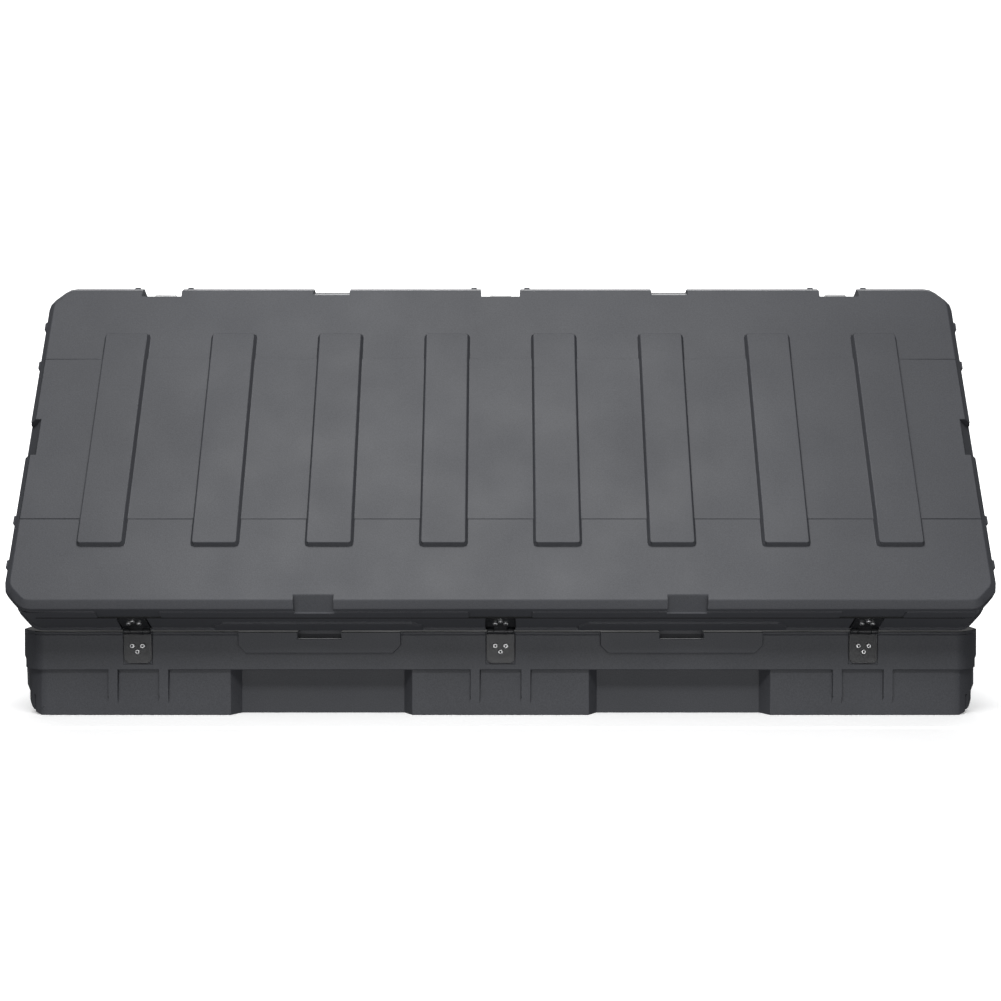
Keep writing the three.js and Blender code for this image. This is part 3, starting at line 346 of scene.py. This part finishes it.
def worked_steel(name, dark, light, roughness, stretch, marks):
    """Grey steel between two tones, with marks drawn out by a stretch along each axis."""
    dark, light = (dark,) * 3, (light,) * 3
    made = Nodes(name)
    strokes = made.noise(300, 3.0, stretch)
    made.link(made.ramp(strokes, (0.3, dark), (0.7, light)), made.shader.inputs["Base Color"])
    made.link(made.spread(strokes, *roughness), made.shader.inputs["Roughness"])
    made.link(made.bump(strokes, marks, 0.05 * MM), made.shader.inputs["Normal"])
    made.shader.inputs["Metallic"].default_value = 1.0
    return made.material


hinge_material = powder_coat("black_powder_coat", (0.012, 0.0125, 0.014), (0.02, 0.021, 0.024))
screw_material = worked_steel("bright_stainless", 0.72, 0.86, (0.34, 0.46), (1, 1, 1), 0.1)
brushed_material = worked_steel(
    "brushed_stainless", 0.4, 0.55, (0.28, 0.42), (0.04, 1, 1), 0.3
)
nylon_material = moulded_plastic(
    "black_nylon", (0.014, 0.014, 0.016), (0.02, 0.02, 0.023), (0.38, 0.5), 0.3
)
rubber_material = moulded_plastic(
    "sealing_rubber", (0.009,) * 3, (0.014,) * 3, (0.7, 0.85), 0.15
)
FINISHES = {
    "moulded_shell": shell_material,
    "hinge_steel": hinge_material,
    "stainless_steel": brushed_material,
    "screw_steel": screw_material,
    "seal_rubber": rubber_material,
    "black_nylon": nylon_material,
}
BODY_OF = {
    node: body
    for body, members in frame["record"]["behaviour"]["bodies"].items()
    for node in members
}
SLOT_OF = {part["node"]: part["material_slot"] for part in frame["record"]["subparts"]}
print("finishes:", len(FINISHES))

# %% [markdown]
# ## The two shells
#
# The shells carry the case's whole form, which the solid model already holds exactly, but with
# knife-sharp edges that no moulding has. So each one starts from a copy of its solid: the loose
# triangles are merged, flat areas are dissolved back into single faces, and every edge that is
# long enough to take it gets a rounded bevel. The lid's copy is swung shut while it is worked
# on, because its faces are then square to the axes.

# %% Shell helpers
MERGE = 0.05 * MM  # corners closer than this are one
FLAT = math.radians(0.8)  # faces that turn less than this are one
SHARP = math.radians(25)  # edges that turn more than this are rounded
SMOOTH = math.radians(35)
WALL_ZONE = 11 * MM  # a shell's wall lies within this of its widest line


def finish(piece, name, body, slot, replaced=()):
    """Names a piece, gives it its finish and ties it to the case."""
    piece.name = name
    piece.data.name = name
    piece.data.materials.clear()
    piece.data.materials.append(FINISHES[slot])
    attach(piece, body)
    if replaced:
        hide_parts(*replaced)
    return piece


def shut_box(node):
    """The box of a solid with the lid shut; a fitting of the lid comes back to square."""
    solid = frame["nodes"][node]
    on_lid = BODY_OF[node] == "lid"
    matrix = (SWING_SHUT if on_lid else Matrix.Identity(4)) @ solid.matrix_world
    corners = [matrix @ v.co for v in solid.data.vertices]
    return [Vector([edge(c[i] for c in corners) for i in range(3)]) for edge in (min, max)]


def merged_copy(node, matrix=Matrix.Identity(4), inside=None):
    """A copy of a solid with its triangles merged and its flat areas made whole.

    The hollow inside of a shell keeps its merged triangles: its ceiling and floor are pierced
    by so many pockets that a single face across them would fold over itself.
    """
    copy = bpy.data.objects.new(node + "_copy", frame["nodes"][node].data.copy())
    bpy.context.scene.collection.objects.link(copy)
    copy.data.transform(matrix)
    edit_mode(copy)
    bpy.ops.mesh.select_all(action="SELECT")
    bpy.ops.mesh.customdata_custom_splitnormals_clear()
    bpy.ops.mesh.remove_doubles(threshold=MERGE)
    if inside:
        choose(copy, "FACE", lambda centre, normal: not inside(centre))
    bpy.ops.mesh.dissolve_limited(angle_limit=FLAT)
    object_mode()
    return copy


def hollow_of(node, from_z, to_z):
    """A test for points in a shell's hollow, between two heights and clear of its walls."""
    high = shut_box(node)[1]
    inner_x, inner_y = high.x - WALL_ZONE, high.y - WALL_ZONE
    return lambda p: abs(p.x) < inner_x and abs(p.y) < inner_y and from_z < p.z < to_z


def round_edges(piece, width, shortest, skip=lambda point: False):
    """Gives every edge that is sharp and long enough a rounded bevel."""
    mesh = piece.data
    faces_of = {}
    for face in mesh.polygons:
        for key in face.edge_keys:
            faces_of.setdefault(key, []).append(face.normal.copy())
    weights = mesh.attributes.new("bevel_weight_edge", "FLOAT", "EDGE")
    chosen = 0
    for edge in mesh.edges:
        normals = faces_of[edge.key]
        a, b = (mesh.vertices[i].co for i in edge.vertices)
        sharp = len(normals) == 2 and normals[0].angle(normals[1], 0) > SHARP
        long_enough = (a - b).length > shortest and not skip((a + b) / 2)
        weights.data[edge.index].value = float(sharp and long_enough)
        chosen += weights.data[edge.index].value > 0
    active_only(piece)
    bevel = piece.modifiers.new("rounded_edges", "BEVEL")
    bevel.limit_method = "WEIGHT"
    bevel.width = width
    bevel.segments = 2
    bevel.use_clamp_overlap = False
    bpy.ops.object.modifier_apply(modifier=bevel.name)
    return chosen


def shade(piece):
    """Smooth shading in which the large faces stay flat and only the bevels turn."""
    active_only(piece)
    bpy.ops.object.shade_smooth_by_angle(angle=SMOOTH)
    weighted = piece.modifiers.new("flat_faces", "WEIGHTED_NORMAL")
    weighted.keep_sharp = True
    bpy.ops.object.modifier_apply(modifier=weighted.name)


# %% [markdown]
# ### Base
#
# The faces on top of the base's rim, with their rounded edges, take the black rubber finish as
# painted shade: it stands in for the shadow in the joint under the lid's edge, so the joint between
# the two shells reads as one thin black line.

# %% Base shell
MOULD_RADIUS = 1.3 * MM
BASE_SHORTEST = 3.4 * MM  # shorter edges keep their corner
RIM_SHADE_DEPTH = 1.35 * MM
SKYWARD = 0.3

rim_z = shut_box("base_shell")[1].z
in_base = hollow_of("base_shell", 2 * MM, 2 * rim_z)
base = merged_copy("base_shell", inside=in_base)
rounded = round_edges(base, MOULD_RADIUS, BASE_SHORTEST, in_base)
shade(base)
finish(base, "base_moulding", "base", "moulded_shell", ["base_shell"])
# The rim's top faces take the black rubber finish as painted shade for the shadowed joint under the lid.
base.data.materials.append(rubber_material)
for face in base.data.polygons:
    if face.center.z > rim_z - RIM_SHADE_DEPTH and face.normal.z > SKYWARD:
        face.material_index = 1
print("base: rounded edges", rounded, "faces", len(base.data.polygons))

# %% [markdown]
# ### Vent plug
#
# There is a small round mark low on the left foot block, such as the plug of a mould vent
# leaves. It is a thin ring laid on the wall, whose place is found by a straight look at the
# wall from outside.

# %% Vent plug
PLUG_X, PLUG_Z = -0.658, 0.0105
PLUG_RADIUS, RING_RADIUS = 2.8 * MM, 0.5 * MM

_, wall_point, _, _ = base.ray_cast((PLUG_X, -1, PLUG_Z), (0, 1, 0))
nothing_selected()
bpy.ops.mesh.primitive_torus_add(
    location=wall_point,
    rotation=(math.pi / 2, 0, 0),
    major_radius=PLUG_RADIUS,
    minor_radius=RING_RADIUS,
    major_segments=32,
    minor_segments=8,
)
plug = bpy.context.object
bpy.ops.object.transform_apply(location=True, rotation=True, scale=True)
bpy.ops.object.shade_smooth()
finish(plug, "vent_plug_ring", "base", "moulded_shell")
print("vent plug at", [round(v, 4) for v in wall_point])

# %% [markdown]
# ### The lid's bars
#
# The eight raised bars are not flat on top: over the last stretch at each end the top falls by
# a couple of millimetres, which shows as a slight change of tone. The bar tops alone are cut
# across by a plane, and everything beyond the cut is turned down about that line. Rounding can
# push a corner past the widest line of the lid, so such corners are set back onto it.

# %% Lid shell
TOP_DIP = math.radians(2.4)
DIP_LENGTH = 43 * MM
CEILING_DROP = 12.5 * MM  # from the bars' tops to above the lid's ceiling
LID_SHORTEST = 2.4 * MM
NEAR = 0.1 * MM
AT_FOLD = 0.01 * MM

lid_low, lid_high = shut_box("lid_shell")
bar_top = lid_high.z
in_lid = hollow_of("lid_shell", 0.0, bar_top - CEILING_DROP)
lid = merged_copy("lid_shell", SWING_SHUT, in_lid)
on_top = [v.co for v in lid.data.vertices if v.co.z > bar_top - NEAR]
bar_ends = min(v.y for v in on_top), max(v.y for v in on_top)
edit_mode(lid)
for end, inward in zip(bar_ends, (1, -1)):
    fold = end + inward * DIP_LENGTH
    tops = choose(lid, "FACE", lambda c, n: c.z > bar_top - NEAR and n.z > 0.9)
    bpy.ops.mesh.bisect(plane_co=(0, fold, 0), plane_no=(0, 1, 0))
    choose(
        lid, "VERT", lambda v: v.z > bar_top - NEAR and (fold - v.y) * inward > -AT_FOLD
    )
    bpy.ops.transform.rotate(
        value=-inward * TOP_DIP, orient_axis="X", center_override=(0, fold, bar_top)
    )
object_mode()
dip = min(v.co.z for v in lid.data.vertices if v.co.z > bar_top - 4 * MM) - bar_top
print("bar tops cut:", tops, "their ends lie at", round(dip / MM, 2), "mm")
rounded = round_edges(lid, MOULD_RADIUS, LID_SHORTEST, in_lid)
for vertex in lid.data.vertices:
    vertex.co.x = min(max(vertex.co.x, -lid_high.x), lid_high.x)
shade(lid)
lid.data.transform(SWING_OPEN)
finish(lid, "lid_moulding", "lid", "moulded_shell", ["lid_shell"])
print("lid: rounded edges", rounded, "faces", len(lid.data.polygons))

# %% [markdown]
# ### Black cord under the rails, painted shade
#
# A thin black rubber cord runs round the lid in the corner under its rails as painted shade: it
# stands in for the dark shadow line under the rails. The cord lies wherever the wall goes, so its
# path is taken from the wall itself: a copy of the lid is cut down to the one loop at the cord's
# height, the stretches inside the hinge and latch pockets are dropped, and the loop is turned into
# a round cord.

# %% Rail shadow cord
SHADOW_CORD_RADIUS = 1.9 * MM
SHADOW_CORD_HEIGHT = 44.2 * MM  # above the lid's rim
END_DEPTH, SIDE_DEPTH = 6 * MM, 3.5 * MM  # how far in the wall still counts as outside
CORNER_ZONE = 60 * MM
CORNER_DEPTH = 34 * MM
SHADOW_CORD_SINK = 1.5 * MM  # set into the ends, so that it stays within the lid's length

shadow_cord_z = lid_low.z + SHADOW_CORD_HEIGHT
shadow_cord = merged_copy("lid_shell", SWING_SHUT)
edit_mode(shadow_cord)
bpy.ops.mesh.select_all(action="SELECT")
bpy.ops.mesh.bisect(
    plane_co=(0, 0, shadow_cord_z), plane_no=(0, 0, 1), clear_inner=True, clear_outer=True, threshold=1e-6
)
object_mode()
wall_x = max(v.co.x for v in shadow_cord.data.vertices)
wall_y = max(v.co.y for v in shadow_cord.data.vertices)


def in_a_pocket(point):
    """Whether a point of the loop lies behind the outer wall, in a hinge or latch pocket."""
    in_x, in_y = wall_x - abs(point.x), wall_y - abs(point.y)
    on_corner = max(in_x, in_y) < CORNER_ZONE and in_x + in_y < CORNER_DEPTH
    return not (in_x < END_DEPTH or in_y < SIDE_DEPTH or on_corner)


choose(shadow_cord, "VERT", in_a_pocket)
bpy.ops.mesh.delete(type="VERT")
bpy.ops.mesh.select_all(action="SELECT")
bpy.ops.transform.resize(
    value=((wall_x - SHADOW_CORD_SINK) / wall_x, 1, 1), center_override=(0, 0, shadow_cord_z)
)
object_mode()
print("bead points:", len(shadow_cord.data.vertices), "half sizes", round(wall_x, 4), round(wall_y, 4))
active_only(shadow_cord)
bpy.ops.object.convert(target="CURVE")
shadow_cord = bpy.context.object
shadow_cord.data.bevel_depth = SHADOW_CORD_RADIUS
shadow_cord.data.bevel_resolution = 3
shadow_cord.data.use_fill_caps = True
bpy.ops.object.convert(target="MESH")
shadow_cord = bpy.context.object
bpy.ops.object.shade_smooth()
shadow_cord.data.transform(SWING_OPEN)
# The cord takes the black rubber finish as painted shade under the rails.
finish(shadow_cord, "lid_rail_bead", "lid", "seal_rubber")
print("bead faces", len(shadow_cord.data.polygons))

# %% [markdown]
# ## Socket screws
#
# Every fitting is held by small stainless button-head screws with a hexagon socket. One screw
# is made the way it is turned: a cylinder's top edge is bevelled into the button, its underside
# is inset and drawn out into the shank, and the socket is cut with a six-sided cutter. The
# socket's walls take the black powder-coat finish as painted shade, for the shade inside so small
# a hole. Each place then gets its own copy, turned to face out of its fitting and to its own
# angle, because screws never stop in line.

# %% Screws
HEAD_RADIUS, HEAD_DEPTH = 3.6 * MM, 2.2 * MM
SHANK_RADIUS, SCREW_LENGTH = 1.8 * MM, 8.3 * MM
SOCKET_RADIUS, SOCKET_DEPTH = 1.9 * MM, 1.6 * MM
BUTTON_ROUND = 1.15 * MM
TURN_STEP = math.radians(37)

nothing_selected()
bpy.ops.mesh.primitive_cylinder_add(
    vertices=36, radius=HEAD_RADIUS, depth=HEAD_DEPTH, location=(0, 0, -HEAD_DEPTH / 2)
)
master_screw = bpy.context.object
bpy.ops.object.transform_apply(location=True, rotation=True, scale=True)
edit_mode(master_screw)
choose(master_screw, "EDGE", lambda a, b: min(a.z, b.z) > -AT_FOLD)
bpy.ops.mesh.bevel(offset=BUTTON_ROUND, segments=5)
choose(master_screw, "FACE", lambda c, n: n.z < -0.9 and c.z < -HEAD_DEPTH + AT_FOLD)
bpy.ops.mesh.inset(thickness=HEAD_RADIUS - SHANK_RADIUS)
bpy.ops.mesh.extrude_region_move(
    TRANSFORM_OT_translate={"value": (0, 0, HEAD_DEPTH - SCREW_LENGTH)}
)
object_mode()
nothing_selected()
bpy.ops.mesh.primitive_cylinder_add(
    vertices=6, radius=SOCKET_RADIUS, depth=2 * SOCKET_DEPTH, location=(0, 0, 0)
)
cutter = bpy.context.object
bpy.ops.object.transform_apply(location=True, rotation=True, scale=True)
active_only(master_screw)
cut = master_screw.modifiers.new("socket", "BOOLEAN")
cut.operation = "DIFFERENCE"
cut.object = cutter
bpy.ops.object.modifier_apply(modifier=cut.name)
bpy.data.objects.remove(cutter)
bpy.ops.object.shade_smooth_by_angle(angle=math.radians(28))

socket_shade_faces = [
    face.index
    for face in master_screw.data.polygons
    if face.center.xy.length < SOCKET_RADIUS and -1.1 * SOCKET_DEPTH < face.center.z < -NEAR
]
screw_nodes = sorted(node for node in frame["nodes"] if "_screw_" in node)
for count, node in enumerate(screw_nodes):
    low, high = shut_box(node)
    side = -1 if "hinge" in node else 1
    top = (low + high) / 2
    top.y = low.y if side < 0 else high.y
    turn = Matrix.Rotation(TURN_STEP * count, 4, "Z")
    stand = Matrix.Rotation(side * -math.pi / 2, 4, "X")
    place = Matrix.Translation(top) @ stand @ turn
    if BODY_OF[node] == "lid":
        place = SWING_OPEN @ place
    screw = bpy.data.objects.new(node + "_turned", master_screw.data.copy())
    bpy.context.scene.collection.objects.link(screw)
    screw.data.transform(place)
    finish(screw, node + "_turned", BODY_OF[node], "screw_steel", [node])
    # The socket's faces take the black powder coat as painted shade.
    screw.data.materials.append(hinge_material)
    for index in socket_shade_faces:
        screw.data.polygons[index].material_index = 1
bpy.data.objects.remove(master_screw)
print("screws:", len(screw_nodes))

# %% [markdown]
# ## Pressed, machined and moulded fittings
#
# The hinge leaves, pins, brackets, latch arms, keepers, valve and gasket have their full form in
# the solid model too. Each is copied, merged and given the edge that its making leaves: a small
# radius on pressed and coated steel, a rounder one on moulded nylon and rubber.

# %% Fittings
# For each finish, the radius of a rounded edge and the shortest edge that takes it.
EDGE_OF = {
    "hinge_steel": (0.45 * MM, 1.4 * MM),
    "stainless_steel": (0.35 * MM, 1.4 * MM),
    "black_nylon": (0.7 * MM, 2.2 * MM),
    "seal_rubber": (0.6 * MM, 3.0 * MM),
}
done = {"base_shell", "lid_shell", *screw_nodes}
fittings = [node for node in frame["nodes"] if node not in done]
for node in fittings:
    on_lid = BODY_OF[node] == "lid"
    piece = merged_copy(node, SWING_SHUT if on_lid else Matrix.Identity(4))
    width, shortest = EDGE_OF[SLOT_OF[node]]
    round_edges(piece, width, shortest)
    shade(piece)
    if on_lid:
        piece.data.transform(SWING_OPEN)
    finish(piece, node + "_finished", BODY_OF[node], SLOT_OF[node], [node])
print("fittings:", len(fittings))
